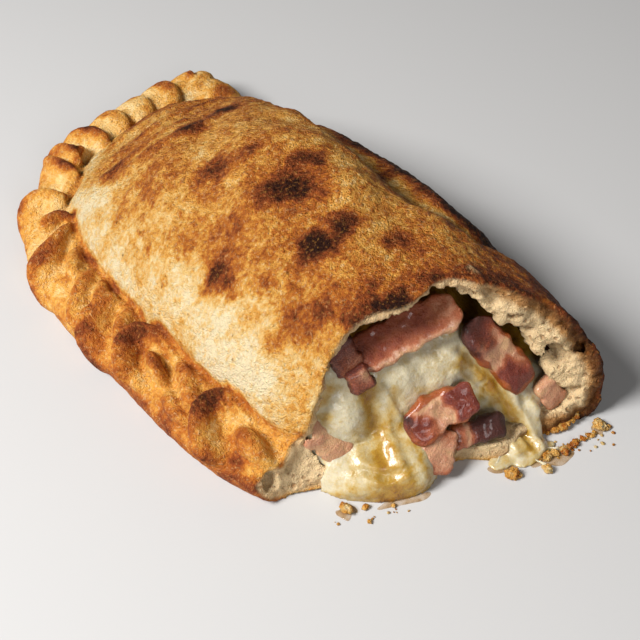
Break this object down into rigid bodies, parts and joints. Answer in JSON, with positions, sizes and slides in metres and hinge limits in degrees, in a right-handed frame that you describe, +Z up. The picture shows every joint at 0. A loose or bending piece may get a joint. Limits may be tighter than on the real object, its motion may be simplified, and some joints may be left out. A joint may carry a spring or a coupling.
{
  "type": "calzone",
  "caption": "Baked half-moon of folded dough with a roped edge, cut across to show melted cheese and bacon, with a tongue of cheese run out over its base crust.",
  "frame": {"origin": "on the table, under the middle of the part's box", "axes": "+Z up; +Y along the loaf, from the cut end to the roped far end; +X towards the folded side, so the roped edge runs down the -X side"},
  "size_m": [0.1166, 0.2096, 0.0588],
  "materials": {
    "crust": "baked dough, golden brown with darker blisters, floury and dull",
    "cheese": "melted cheese, smooth and oily",
    "bacon": "cooked bacon, oily, dark at its edges"
  },
  "bodies": {
    "root": {"crust": "crust", "cheese": "cheese", "bacon_rasher": "bacon", "bacon_dark_end": "bacon", "bacon_nub": "bacon", "bacon_right": "bacon", "bacon_centre": "bacon", "bacon_pale_tail": "bacon", "bacon_crisp": "bacon", "bacon_pink_left": "bacon", "bacon_pink_right": "bacon"}
  },
  "joints": []
}
